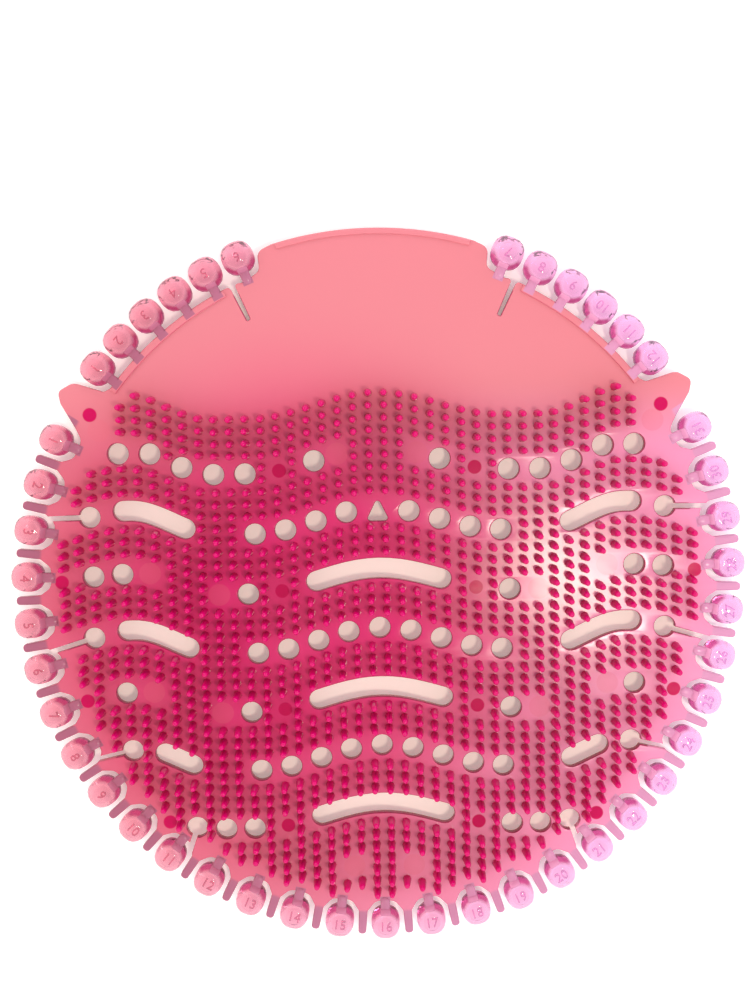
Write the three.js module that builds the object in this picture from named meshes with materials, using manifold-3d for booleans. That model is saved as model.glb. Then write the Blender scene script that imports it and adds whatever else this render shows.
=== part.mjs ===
// Urinal deodorizer screen, one flexible moulded piece.
// A thin round plate carries a field of upright pegs, with rows of drain holes and curved drain
// slots between them. Its edge has a wide tab at the top, two ears, twelve month beads and
// thirty-one day beads on short necks, and a finger between each two day beads.
// Sixteen feet hold the plate up. Millimetres, +Z up, +Y towards the tab. The origin is under
// the middle of the whole outline, level with the undersides of the feet.

import * as THREE from 'three';
import { ConvexGeometry } from 'three/addons/geometries/ConvexGeometry.js';
import { mergeGeometries, mergeVertices } from 'three/addons/utils/BufferGeometryUtils.js';
import Module from 'manifold-3d';

const wasm = await Module();
wasm.setup();

// Plate, and what stands on it and under it
const plateThickness = 2.2;
const footHeight = 2.8;
const footRadius = 2.2;
const pegHeight = 5.2;
const pegRadius = 1.25;
const rootDepth = 0.4;

// Peg field: straight columns, and rows that follow a wave
const columnPitch = 3.83;
const columnsPerSide = 21;
const rowPitch = 3.03;
const rowCount = 43;
const topRowLevel = 42.2;
const fieldRadius = 78.45;
const middleCrestHeight = 6.0;
const middleCrestReach = 31;
const sideCrestHeight = 6.5;
const sideCrestStart = 41;
const sideCrestPeak = 62;
const sideCrestFall = 32;

// Bands of openings, every fifth row
const rowsPerBand = 5;
const firstBandRow = 4.5;
const holeRadius = 2.85;
const outerHoleDrop = 0.05;
const slotWidth = 5.1;
const middleSlotReach = 15.7;
const triangleHeight = 6.0;
const triangleWidth = 5.6;
const cutWidth = 1.3;

// How far pegs keep from the edges of openings, cuts and clear patches
const pegClearance = 1.0;
const slotClearance = 1.45;
const cutClearance = 2.4;
const pinMarkRadius = 2.85;
const footPatchRadius = 1.6;

// Edge
const tabRadius = 88.5;
const tabHalfAngle = 17.2;
const tabShoulder = { turn: 1.8, drop: 1.4 };
const tabNotchTurn = 2.6;
const monthRimRadius = 82.7;
const dayRimRadius = 82.3;
const beadRing = 88.4;
const monthBeadLength = 8.8;
const monthBeadWidth = 8.2;
const dayBeadLength = 9.4;
const dayBeadWidth = 8.2;
const beadHeight = 7.4;
const neckWidth = 2.4;
const monthsPerSide = 6;
const monthPitch = 5.8;
const firstMonthBearing = 22.1;
const dayCount = 31;
const dayPitch = 7.7;
const fingerRootRadius = 85.0;
const fingerTipRadius = 91.3;
const fingerRootWidth = 2.4;
const fingerTipWidth = 1.7;
const tabCutBearing = 24.9;
const tabCutDepth = 9.2;
const earBearing = 57.4;
const earReach = 93.2;
const earCorners = [
  { turn: -3.2, drop: 8.6 },
  { turn: -2.2, drop: 2 },
  { turn: 0, drop: 0 },
  { turn: 1.5, drop: 1.6 },
  { turn: 3.6, drop: 7.7 },
];

// Feet and pin marks near the edge
const earFoot = { bearing: 58.2, radius: 83.5 };
const upperSideFoot = { bearing: 88.4, radius: 79.6 };
const lowerSideFoot = { bearing: 110.8, radius: 79.5 };
const lowestFoot = { bearing: 137.8, radius: 81.2 };
const earPinMark = { bearing: 59.8, radius: 79.7 };
const dayPinMark = { bearing: 64.5, radius: 80.5 };

// Faces round each small form
const holeSides = 5;
const beadSides = 6;
const footSides = 3;
const pegSides = 3;

// A point at a bearing in degrees from +Y towards +X, at a radius, moved sideways by across
function atBearing(bearing, radius, across = 0) {
  const turn = THREE.MathUtils.degToRad(bearing);
  const x = radius * Math.sin(turn) + across * Math.cos(turn);
  const y = radius * Math.cos(turn) - across * Math.sin(turn);
  return new THREE.Vector2(x, y);
}

const atPlace = ({ bearing, radius }) => atBearing(bearing, radius);
const mirrored = (point) => new THREE.Vector2(-point.x, point.y);
const onBothSides = (points) => [...points, ...points.map(mirrored)];
const pathsOnBothSides = (paths) => [...paths, ...paths.map((path) => path.map(mirrored))];

// A smooth rise from 0 to 1 and back to 0 as share goes from 0 to 2
const swell = (share) => (1 - Math.cos(Math.PI * share)) / 2;

// How far a row stands above its trough at a distance from the middle column
function rowRise(x) {
  const away = Math.abs(x);
  if (away < middleCrestReach) {
    return middleCrestHeight * swell(1 + away / middleCrestReach);
  }
  if (away < sideCrestStart) {
    return 0;
  }
  if (away < sideCrestPeak) {
    return sideCrestHeight * swell((away - sideCrestStart) / (sideCrestPeak - sideCrestStart));
  }
  return sideCrestHeight * swell(1 + (away - sideCrestPeak) / sideCrestFall);
}

const columnX = (column) => (column + 0.5) * columnPitch;
const middleColumn = -0.5;

// The point where a column and a row meet, with numbers that may fall between two of them
function latticePoint(column, row) {
  const x = columnX(column);
  return new THREE.Vector2(x, topRowLevel - row * rowPitch + rowRise(x));
}

const bandPoint = (column, band) => latticePoint(column, firstBandRow + band * rowsPerBand);

// Round holes: the columns that have one in each band, and the bands with one in the middle
const holeColumnsByBand = [
  [3.6, 8.1, 10.15, 12.2, 14.25],
  [1.55, 3.55, 5.55, 7.55],
  [8.1, 18.2],
  [1.55, 3.55, 5.55, 7.55],
  [8.1],
  [1.55, 3.55, 5.55, 7.55],
  [8.1, 10],
];
const outerHoleColumn = 16.3;
const outerHoleBands = [0, 2, 4];
const middleHoleBands = [3, 5];

function roundHoleCentres() {
  const sideHoles = holeColumnsByBand.flatMap(
    (columns, band) => columns.map((column) => bandPoint(column, band)),
  );
  const outerHoles = outerHoleBands.map((band) => bandPoint(outerHoleColumn, band + outerHoleDrop));
  const middleHoles = middleHoleBands.map((band) => bandPoint(middleColumn, band));
  return [...onBothSides([...sideHoles, ...outerHoles]), ...middleHoles];
}

// Slots run along the rows: three across the middle, three on each side
const middleSlotBands = [2, 4, 6];
const middleSlotSteps = 3;
const sideSlots = [
  { band: 1, from: 12.1, to: 16.1, steps: 2 },
  { band: 3, from: 12.1, to: 16.1, steps: 2 },
  { band: 5, from: 12.1, to: 13.9, steps: 1 },
];

function slotPath(band, from, to, steps) {
  const path = [];
  for (let step = 0; step <= steps; step += 1) {
    path.push(bandPoint(THREE.MathUtils.lerp(from, to, step / steps), band));
  }
  return path;
}

function allSlotPaths() {
  const reach = middleSlotReach / columnPitch;
  const middle = middleSlotBands.map(
    (band) => slotPath(band, middleColumn - reach, middleColumn + reach, middleSlotSteps),
  );
  const side = sideSlots.map(({ band, from, to, steps }) => slotPath(band, from, to, steps));
  return [...middle, ...pathsOnBothSides(side)];
}

// Holes near the edge, each opened by a narrow cut to the gap beside a day bead
const edgeHoles = [
  { column: 18.3, band: 1, mouthBearing: 78.2 },
  { column: 18.3, band: 3.02, mouthBearing: 101.1 },
  { column: 16.05, band: 5.04, mouthBearing: 120.3 },
  { column: 11.95, band: 6.06, mouthBearing: 143.6 },
];

function edgeHolePaths() {
  const paths = edgeHoles.map(({ column, band, mouthBearing }) => [
    bandPoint(column, band),
    atBearing(mouthBearing, fingerRootRadius),
  ]);
  return pathsOnBothSides(paths);
}

const triangleCentre = bandPoint(middleColumn, 1.05);

// Feet: four inner pairs between two columns, and four pairs near the edge
const innerFootColumn = 5.87;
const innerFootBands = [0, 2, 4, 6];
const feet = onBothSides([
  ...innerFootBands.map((band) => bandPoint(innerFootColumn, band)),
  ...[earFoot, upperSideFoot, lowerSideFoot, lowestFoot].map(atPlace),
]);

// Smooth marks left by the mould's ejector pins
const pinMarks = onBothSides([
  bandPoint(2.1, 0),
  bandPoint(14.5, 2),
  bandPoint(10, 2),
  bandPoint(14.5, 4),
  bandPoint(10, 4),
  bandPoint(1.5, 7.03),
  ...[earPinMark, dayPinMark].map(atPlace),
]);

function distanceToPath(point, path) {
  const segment = new THREE.Line3();
  const here = new THREE.Vector3(point.x, point.y, 0);
  const nearest = new THREE.Vector3();
  const distances = path.slice(1).map((end, index) => {
    segment.start.set(path[index].x, path[index].y, 0);
    segment.end.set(end.x, end.y, 0);
    return segment.closestPointToPoint(here, true, nearest).distanceTo(here);
  });
  return Math.min(...distances);
}

// Pegs stand wherever a column and a row meet clear of every opening, foot and pin mark
function pegCentres() {
  const holes = [...roundHoleCentres(), ...edgeHolePaths().map(([centre]) => centre), triangleCentre];
  const slots = allSlotPaths();
  const cuts = edgeHolePaths();
  const centres = [];
  for (let column = 0; column < columnsPerSide; column += 1) {
    for (let row = 0; row < rowCount; row += 1) {
      const spot = latticePoint(column, row);
      const isPeg = spot.length() < fieldRadius
        && holes.every((hole) => hole.distanceTo(spot) > holeRadius + pegClearance)
        && pinMarks.every((mark) => mark.distanceTo(spot) > pinMarkRadius + pegClearance)
        && feet.every((foot) => foot.distanceTo(spot) > footPatchRadius + pegClearance)
        && slots.every((path) => distanceToPath(spot, path) > slotWidth / 2 + slotClearance)
        && cuts.every((path) => distanceToPath(spot, path) > cutClearance);
      if (isPeg) {
        centres.push(spot, mirrored(spot));
      }
    }
  }
  return centres;
}

// The point at a distance from a centre, in the direction of turn in radians from +X
function aroundPoint(centre, radius, turn) {
  return new THREE.Vector2(Math.cos(turn), Math.sin(turn)).multiplyScalar(radius).add(centre);
}

// Corners round a centre, open towards a heading: the first and last are openWidth apart
function openPolygon(centre, radius, sides, heading, openWidth) {
  const halfOpening = Math.asin(openWidth / 2 / radius);
  const span = 2 * (Math.PI - halfOpening);
  const corners = [];
  for (let corner = 0; corner < sides; corner += 1) {
    const turn = heading - halfOpening - span * corner / (sides - 1);
    corners.push(aroundPoint(centre, radius, turn));
  }
  return corners;
}

function roundPolygon(centre, radius, sides) {
  const corners = [];
  for (let corner = 0; corner < sides; corner += 1) {
    const turn = Math.PI * (0.5 + 2 * corner / sides);
    corners.push(aroundPoint(centre, radius, turn));
  }
  return corners;
}

// Bearings of the beads on the right side, the last of them at the bottom
const lastDayBearing = 180;
const daysPerSide = (dayCount + 1) / 2;
function bearingsFrom(first, pitch, count) {
  return Array.from({ length: count }, (_, index) => first + index * pitch);
}
const monthBearings = bearingsFrom(firstMonthBearing, monthPitch, monthsPerSide);
const dayBearings = bearingsFrom(lastDayBearing, -dayPitch, daysPerSide).reverse();
const onBothBearings = (bearings) => bearings.flatMap((bearing) => [bearing, -bearing]);

const monthBead = { length: monthBeadLength, width: monthBeadWidth };
const dayBead = { length: dayBeadLength, width: dayBeadWidth };

// Corners of a bead seen from above, open towards the rim where its neck comes in
function beadCorners(bearing, { length, width }) {
  const middle = new THREE.Vector2();
  const narrowing = width / length;
  const towardsRim = -Math.PI / 2;
  const corners = openPolygon(middle, length / 2, beadSides, towardsRim, neckWidth / narrowing);
  return corners.map(({ x, y }) => atBearing(bearing, beadRing + y, x * narrowing));
}

// The neck of a bead, from its root on the rim to the bead and back
function neckOutline(bearing, rimRadius, bead) {
  const corners = beadCorners(bearing, bead);
  return [
    atBearing(bearing, rimRadius, -neckWidth / 2),
    corners[0],
    corners[corners.length - 1],
    atBearing(bearing, rimRadius, neckWidth / 2),
  ];
}

function acrossAt(bearing, radius, width) {
  return [atBearing(bearing, radius, -width / 2), atBearing(bearing, radius, width / 2)];
}

const fingerRoot = (bearing) => acrossAt(bearing, fingerRootRadius, fingerRootWidth);

// The tab, from the middle of its arc to the notch before the first month bead
function tabOutline() {
  const arc = [0, 0.4, 0.75, 1].map((share) => atBearing(tabHalfAngle * share, tabRadius));
  return [
    ...arc,
    atBearing(tabHalfAngle + tabShoulder.turn, tabRadius - tabShoulder.drop),
    atBearing(tabHalfAngle + tabNotchTurn, monthRimRadius),
  ];
}

// The narrow cut that frees the tab, just after the first month bead
function tabCutOutline() {
  return [
    atBearing(tabCutBearing, monthRimRadius, -cutWidth / 2),
    atBearing(tabCutBearing, monthRimRadius - tabCutDepth),
    atBearing(tabCutBearing, monthRimRadius, cutWidth / 2),
  ];
}

const earOutline = () => earCorners.map(({ turn, drop }) => atBearing(earBearing + turn, earReach - drop));

// The right half of the outline, from the middle of the tab round to the last day bead's neck
function halfOutline() {
  const [firstMonth, ...laterMonths] = monthBearings;
  const outline = [
    ...tabOutline(),
    ...neckOutline(firstMonth, monthRimRadius, monthBead),
    ...tabCutOutline(),
    ...laterMonths.flatMap((bearing) => neckOutline(bearing, monthRimRadius, monthBead)),
    ...earOutline(),
  ];
  for (const bearing of dayBearings.slice(0, -1)) {
    outline.push(...neckOutline(bearing, dayRimRadius, dayBead));
    outline.push(...fingerRoot(bearing + dayPitch / 2));
  }
  return [...outline, ...neckOutline(lastDayBearing, dayRimRadius, dayBead).slice(0, 2)];
}

// A slot of even width round a path, with a blunt round end at each end of it
function slotOutline(path) {
  const half = slotWidth / 2;
  const upper = [];
  const lower = [];
  path.forEach((point, index) => {
    const isFirst = index === 0;
    const isLast = index === path.length - 1;
    const before = isFirst ? point : path[index - 1];
    const after = isLast ? point : path[index + 1];
    const along = after.clone().sub(before).normalize();
    const side = new THREE.Vector2(-along.y, along.x);
    const place = (forward, sideways) => (
      point.clone().addScaledVector(along, forward).addScaledVector(side, sideways)
    );
    if (isFirst) {
      upper.push(place(-half, half / 2));
      lower.push(place(-half, -half / 2));
    }
    upper.push(place(0, half));
    lower.push(place(0, -half));
    if (isLast) {
      upper.push(place(half, half / 2));
      lower.push(place(half, -half / 2));
    }
  });
  return [...upper, ...lower.reverse()];
}

function triangleOutline() {
  return [
    new THREE.Vector2(0, triangleHeight / 2).add(triangleCentre),
    new THREE.Vector2(-triangleWidth / 2, -triangleHeight / 2).add(triangleCentre),
    new THREE.Vector2(triangleWidth / 2, -triangleHeight / 2).add(triangleCentre),
  ];
}

// A round hole with a cut of even width from it to the mouth and a little beyond
function edgeHoleOutline([centre, mouth]) {
  const away = mouth.clone().sub(centre).normalize();
  const side = new THREE.Vector2(-away.y, away.x).multiplyScalar(cutWidth / 2);
  const corners = openPolygon(centre, holeRadius, holeSides, away.angle(), cutWidth);
  return [...corners, mouth.clone().add(side), mouth.clone().sub(side)];
}

// A closed three.js geometry as a solid that can be joined and cut
function toSolid(geometry) {
  const bare = geometry.clone();
  bare.deleteAttribute('normal');
  bare.deleteAttribute('uv');
  const welded = mergeVertices(bare);
  return new wasm.Manifold(new wasm.Mesh({
    numProp: 3,
    vertProperties: new Float32Array(welded.attributes.position.array),
    triVerts: new Uint32Array(welded.index.array),
  }));
}

function toGeometry(solid) {
  const mesh = solid.getMesh();
  const geometry = new THREE.BufferGeometry();
  geometry.setAttribute('position', new THREE.BufferAttribute(mesh.vertProperties, mesh.numProp));
  geometry.setIndex(new THREE.BufferAttribute(mesh.triVerts, 1));
  return geometry;
}

const plateBottom = footHeight;
const plateTop = plateBottom + plateThickness;
const plateMiddle = (plateBottom + plateTop) / 2;

// A flat outline as a solid between two heights
function prismGeometry(outline, bottom, top) {
  const flat = new THREE.Shape(outline);
  const prism = new THREE.ExtrudeGeometry(flat, { depth: top - bottom, bevelEnabled: false });
  return prism.translate(0, 0, bottom);
}

function makePlate() {
  const right = halfOutline();
  const left = right.slice(1).reverse().map(mirrored);
  return toSolid(prismGeometry([...right, ...left], plateBottom, plateTop));
}

// Everything that is open through the plate, a little taller than the plate
function makeOpenings() {
  const outlines = [
    ...roundHoleCentres().map((centre) => roundPolygon(centre, holeRadius, holeSides)),
    ...allSlotPaths().map(slotOutline),
    ...edgeHolePaths().map(edgeHoleOutline),
    triangleOutline(),
  ];
  const bottom = plateBottom - rootDepth;
  const top = plateTop + rootDepth;
  return toSolid(mergeGeometries(outlines.map((outline) => prismGeometry(outline, bottom, top))));
}

// A bead: widest half way up the plate, drawn in to a point above and below
function beadGeometry(bearing, bead) {
  const corners = beadCorners(bearing, bead);
  const centre = atBearing(bearing, beadRing);
  const neckCorners = [corners[0], corners[corners.length - 1]];
  return new ConvexGeometry([
    ...corners.slice(1, -1).map((corner) => new THREE.Vector3(corner.x, corner.y, plateMiddle)),
    ...neckCorners.map((corner) => new THREE.Vector3(corner.x, corner.y, plateBottom)),
    ...neckCorners.map((corner) => new THREE.Vector3(corner.x, corner.y, plateTop)),
    new THREE.Vector3(centre.x, centre.y, plateMiddle - beadHeight / 2),
    new THREE.Vector3(centre.x, centre.y, plateMiddle + beadHeight / 2),
  ]);
}

function makeBeads() {
  const months = onBothBearings(monthBearings);
  const days = [...onBothBearings(dayBearings.slice(0, -1)), lastDayBearing];
  return toSolid(mergeGeometries([
    ...months.map((bearing) => beadGeometry(bearing, monthBead)),
    ...days.map((bearing) => beadGeometry(bearing, dayBead)),
  ]));
}

// A finger between two day beads, drawn in to an edge half way up the plate
function fingerGeometry(bearing) {
  const root = fingerRoot(bearing);
  const tip = acrossAt(bearing, fingerTipRadius, fingerTipWidth);
  return new ConvexGeometry([
    ...root.map((corner) => new THREE.Vector3(corner.x, corner.y, plateBottom)),
    ...root.map((corner) => new THREE.Vector3(corner.x, corner.y, plateTop)),
    ...tip.map((corner) => new THREE.Vector3(corner.x, corner.y, plateMiddle)),
  ]);
}

function makeFingers() {
  const bearings = dayBearings.slice(0, -1).map((bearing) => bearing + dayPitch / 2);
  return toSolid(mergeGeometries(onBothBearings(bearings).map(fingerGeometry)));
}

// Pegs taper to their tips and start a little inside the plate
function makePegs() {
  const length = pegHeight + rootDepth;
  const cone = new THREE.ConeGeometry(pegRadius * length / pegHeight, length, pegSides);
  cone.rotateX(Math.PI / 2);
  cone.translate(0, 0, plateTop - rootDepth + length / 2);
  return toSolid(mergeGeometries(pegCentres().map(({ x, y }) => cone.clone().translate(x, y, 0))));
}

function makeFeet() {
  const outlines = feet.map((foot) => roundPolygon(foot, footRadius, footSides));
  const top = plateBottom + rootDepth;
  return toSolid(mergeGeometries(outlines.map((outline) => prismGeometry(outline, 0, top))));
}

function makeScreen() {
  const pegboard = makePlate().add(makePegs()).subtract(makeOpenings());
  const body = pegboard.add(makeBeads()).add(makeFingers()).add(makeFeet());
  const geometry = toGeometry(body);
  geometry.computeBoundingBox();
  const middle = geometry.boundingBox.getCenter(new THREE.Vector3());
  geometry.translate(-middle.x, -middle.y, 0);
  geometry.computeVertexNormals();
  const plastic = new THREE.MeshStandardMaterial({ color: 0xdc5a82, roughness: 0.35, metalness: 0 });
  const screen = new THREE.Mesh(geometry, plastic);
  screen.name = 'screen';
  return screen;
}

const deodorizerScreen = new THREE.Group();
deodorizerScreen.add(makeScreen());

export default deodorizerScreen;
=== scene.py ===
# %% [markdown]
# # A urinal deodorizer screen, one flexible pink moulding
# The real object is a thin round mat of soft, see-through plastic, moulded in one go: plate,
# pegs, beads, feet and all. So the whole of it is joined into one closed mesh here, with one
# material whose colour depends on the place on the moulding. This script follows the packed
# model, which it loads first, and adds what the plain solid leaves out: round edges, round pegs
# and beads, raised lips and the numbers.

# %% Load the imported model
import math

import bmesh
import bpy
from mathutils import Matrix, Vector


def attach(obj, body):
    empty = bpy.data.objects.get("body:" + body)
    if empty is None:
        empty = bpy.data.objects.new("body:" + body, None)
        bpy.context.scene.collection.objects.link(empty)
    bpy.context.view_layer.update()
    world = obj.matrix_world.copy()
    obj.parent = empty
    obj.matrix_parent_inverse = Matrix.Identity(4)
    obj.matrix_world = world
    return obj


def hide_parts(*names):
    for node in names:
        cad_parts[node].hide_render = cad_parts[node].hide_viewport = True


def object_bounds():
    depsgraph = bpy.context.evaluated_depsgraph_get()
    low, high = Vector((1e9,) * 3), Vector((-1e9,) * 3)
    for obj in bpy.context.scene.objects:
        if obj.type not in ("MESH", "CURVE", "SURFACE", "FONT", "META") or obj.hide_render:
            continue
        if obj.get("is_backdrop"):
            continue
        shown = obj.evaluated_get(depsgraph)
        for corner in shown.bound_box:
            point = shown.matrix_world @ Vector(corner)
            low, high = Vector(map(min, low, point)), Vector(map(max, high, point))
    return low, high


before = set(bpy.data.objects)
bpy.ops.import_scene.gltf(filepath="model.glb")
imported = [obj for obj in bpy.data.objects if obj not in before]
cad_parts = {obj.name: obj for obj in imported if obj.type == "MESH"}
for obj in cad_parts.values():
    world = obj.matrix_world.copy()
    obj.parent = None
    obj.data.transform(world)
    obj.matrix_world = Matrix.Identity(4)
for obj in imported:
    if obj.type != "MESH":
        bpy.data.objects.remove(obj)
cad_low, cad_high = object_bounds()
print("The packed model measures", [round(side * 1000, 1) for side in cad_high - cad_low], "mm")

# %% [markdown]
# ## Sizes
# Everything is laid out in millimetres round the centre of the disc, with +Y towards the wide
# tab, and turned into metres at the very end. The tab's outer arc is the top of the packed
# model's box, so the disc's centre follows from it.

# %% Driving sizes
MM = 0.001
TAB_RADIUS = 88.5
DISC_SHIFT = cad_high.y / MM - TAB_RADIUS

FOOT_HEIGHT = 2.8
PLATE_THICKNESS = 2.2
PLATE_TOP = FOOT_HEIGHT + PLATE_THICKNESS
PLATE_MIDDLE = FOOT_HEIGHT + PLATE_THICKNESS / 2
PEG_HEIGHT = cad_high.z / MM - PLATE_TOP
print("Peg height", round(PEG_HEIGHT, 2), "mm, disc centre at y =", round(DISC_SHIFT, 2), "mm")


def at_bearing(bearing, radius, across=0.0):
    """A point at a bearing in degrees from +Y towards +X, moved sideways by across."""
    turn = math.radians(bearing)
    along = Vector((math.sin(turn), math.cos(turn)))
    side = Vector((math.cos(turn), -math.sin(turn)))
    return along * radius + side * across


def mirrored(point):
    """The same place on the other side of the middle line."""
    return Vector((-point.x, point.y))


def on_both_sides(points):
    """The points and their mirror twins."""
    return [*points, *map(mirrored, points)]


# %% [markdown]
# ## The lattice
# Pegs stand in straight columns. Their rows follow a wave with a crest in the middle and one
# on each side, and every fifth row is a band of holes and slots in place of pegs. One formula
# gives the wave, so pegs, holes and slots all stay in step with each other.

# %% The wave and the lattice
COLUMN_PITCH = 3.83
ROW_PITCH = 3.03
TOP_ROW = 42.2
COLUMNS_PER_SIDE = 21
ROWS = 43
MIDDLE_COLUMN = -0.5
ROWS_PER_BAND = 5
FIRST_BAND_ROW = 4.5

TROUGH_START = 31
TROUGH_END = 41
SIDE_CREST = 62
SIDE_FALL = 32
MIDDLE_RISE = 6.0
SIDE_RISE = 6.5


def swell(share):
    """A smooth rise from 0 to 1 and back to 0 as share goes from 0 to 2."""
    return (1 - math.cos(math.pi * share)) / 2


def row_rise(x):
    """How far a row stands above its trough at a distance x from the middle."""
    away = abs(x)
    if away < TROUGH_START:
        return MIDDLE_RISE * swell(1 + away / TROUGH_START)
    if away < TROUGH_END:
        return 0.0
    if away < SIDE_CREST:
        return SIDE_RISE * swell((away - TROUGH_END) / (SIDE_CREST - TROUGH_END))
    return SIDE_RISE * swell(1 + (away - SIDE_CREST) / SIDE_FALL)


def lattice_point(column, row):
    """Where a column and a row meet; both may be a fraction."""
    x = (column + 0.5) * COLUMN_PITCH
    return Vector((x, TOP_ROW - row * ROW_PITCH + row_rise(x)))


def band_point(column, band):
    """A place in a band of openings, the top band being number 0."""
    return lattice_point(column, FIRST_BAND_ROW + band * ROWS_PER_BAND)


# %% [markdown]
# ## Places of the openings, feet and pin marks
# Most are named by their column and their band, either of which may be a fraction. What lies
# along the rim is placed by its bearing and its distance from the disc's centre instead. Only
# the right half is listed, and the left half is its mirror image.

# %% Holes and slots
HOLE_RADIUS = 2.66
SLOT_WIDTH = 5.1
CUT_WIDTH = 1.3

HOLE_COLUMNS = [
    [3.6, 8.1, 10.15, 12.2, 14.25],
    [1.55, 3.55, 5.55, 7.55],
    [8.1, 18.2],
    [1.55, 3.55, 5.55, 7.55],
    [8.1],
    [1.55, 3.55, 5.55, 7.55],
    [8.1, 10],
]
OUTER_COLUMN = 16.3
OUTER_DROP = 0.05
side_holes = [
    band_point(column, band)
    for band, columns in enumerate(HOLE_COLUMNS)
    for column in columns
]
outer_holes = [band_point(OUTER_COLUMN, band + OUTER_DROP) for band in (0, 2, 4)]
middle_holes = [band_point(MIDDLE_COLUMN, band) for band in (3, 5)]
round_holes = on_both_sides(side_holes + outer_holes) + middle_holes
triangle_centre = band_point(MIDDLE_COLUMN, 1 + OUTER_DROP)


def slot_path(band, start, end):
    """The centre line of a slot, which runs along the wave from one column to another."""
    steps = 12
    return [band_point(start + (end - start) * step / steps, band) for step in range(steps + 1)]


MIDDLE_SLOT_REACH = 15.7 / COLUMN_PITCH
SIDE_SLOT_START = 12.1
SIDE_SLOT_ENDS = {1: 16.1, 3: 16.1, 5: 13.9}
middle_slots = [
    slot_path(band, MIDDLE_COLUMN - MIDDLE_SLOT_REACH, MIDDLE_COLUMN + MIDDLE_SLOT_REACH)
    for band in (2, 4, 6)
]
right_slots = [slot_path(band, SIDE_SLOT_START, end) for band, end in SIDE_SLOT_ENDS.items()]
left_slots = [[mirrored(point) for point in path] for path in right_slots]
slots = middle_slots + right_slots + left_slots

# %% [markdown]
# An edge hole opens to the rim by a narrow cut. Each is listed by the bearing of the cut's mouth,
# with the column and band of its hole.

# %% Edge holes, feet and pin marks
EDGE_HOLES = {77.6: (18.3, 1), 100.6: (18.3, 3.02), 120.8: (16.05, 5.04), 143.9: (11.95, 6.06)}
CUT_MOUTH = 85.0
right_cuts = [
    (band_point(*place), at_bearing(bearing, CUT_MOUTH))
    for bearing, place in EDGE_HOLES.items()
]
cuts = right_cuts + [(mirrored(centre), mirrored(mouth)) for centre, mouth in right_cuts]

FOOT_COLUMN = 5.87
EDGE_FEET = [(58.2, 83.5), (88.4, 79.6), (110.8, 79.5), (137.8, 81.2)]
inner_feet = [band_point(FOOT_COLUMN, band) for band in (0, 2, 4, 6)]
edge_feet = [at_bearing(*place) for place in EDGE_FEET]
feet = on_both_sides(inner_feet + edge_feet)

FIELD_PINS = [(2.1, 0), (14.5, 2), (10, 2), (14.5, 4), (10, 4), (1.5, 7.03)]
EAR_PIN = (59.8, 79.7)
field_pins = [band_point(*place) for place in FIELD_PINS]
pin_marks = on_both_sides([*field_pins, at_bearing(*EAR_PIN)])
print(len(round_holes), "round holes,", len(slots), "slots,", len(cuts), "edge holes,", len(feet), "feet")

# %% [markdown]
# ## Which pegs exist
# A peg stands wherever a column and a row meet, unless an opening, a foot or a pin mark is too
# near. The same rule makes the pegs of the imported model, which leaves out the outermost ones.

# %% Peg places
FIELD_RADIUS = 79.65
HOLE_CLEARANCE = 3.85
FOOT_CLEARANCE = 2.6
SLOT_CLEARANCE = 1.45
CUT_CLEARANCE = 2.4
BARE_CORNER = (64.5, 80.5)
bare_corners = on_both_sides([at_bearing(*BARE_CORNER)])


def distance_to_path(point, path):
    """How far a point is from a line through several points."""
    nearest = math.inf
    for start, end in zip(path, path[1:]):
        along = end - start
        share = max(0.0, min(1.0, (point - start).dot(along) / along.length_squared))
        nearest = min(nearest, (point - start - along * share).length)
    return nearest


def is_peg(spot):
    """Whether the moulding has a peg at a lattice point."""
    edge_holes = [centre for centre, mouth in cuts]
    bare = [*round_holes, *edge_holes, triangle_centre, *pin_marks, *bare_corners]
    return (
        spot.length < FIELD_RADIUS
        and all((spot - place).length > HOLE_CLEARANCE for place in bare)
        and all((spot - foot).length > FOOT_CLEARANCE for foot in feet)
        and all(distance_to_path(spot, path) > SLOT_WIDTH / 2 + SLOT_CLEARANCE for path in slots)
        and all(distance_to_path(spot, cut) > CUT_CLEARANCE for cut in cuts)
    )


right_pegs = [
    lattice_point(column, row)
    for column in range(COLUMNS_PER_SIDE)
    for row in range(ROWS)
    if is_peg(lattice_point(column, row))
]
peg_places = on_both_sides(right_pegs)
print(len(peg_places), "pegs")

# %% [markdown]
# ## The outline
# The edge is drawn as corners, each with its own rounding. Between each two day beads a finger
# stands out, and beside it the plate is scooped away round the bead. The upper edge is a plain
# arc, freed from the tab by a narrow cut, and ends in an ear.

# %% Outline corners
DAY_RIM = 82.4
MONTH_RIM = 82.8
DAY_PITCH = 7.7
FIRST_MONTH = 22.1
MONTH_PITCH = 5.8
BEAD_RING = 88.25
MONTHS_PER_SIDE = 6
DAYS_PER_SIDE = 15
month_bearings = [FIRST_MONTH + MONTH_PITCH * index for index in range(MONTHS_PER_SIDE)]
day_bearings = [180 - DAY_PITCH * index for index in range(DAYS_PER_SIDE, -1, -1)]

FINGER_FOOT = 85.2
FINGER_TIP = 91.25
FINGER_FOOT_WIDTH = 2.24
FINGER_TIP_WIDTH = 2.04
FINGER_FOOT_ROUNDING = 0.9
FINGER_TIP_ROUNDING = 0.85
SCOOP_WIDTH = 5.0
SCOOP_ROUNDING = 2.4

# %% [markdown]
# The shoulder beside the tab and the ear are given corner by corner: the bearing, the distance
# from the centre and the rounding of each.

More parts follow.
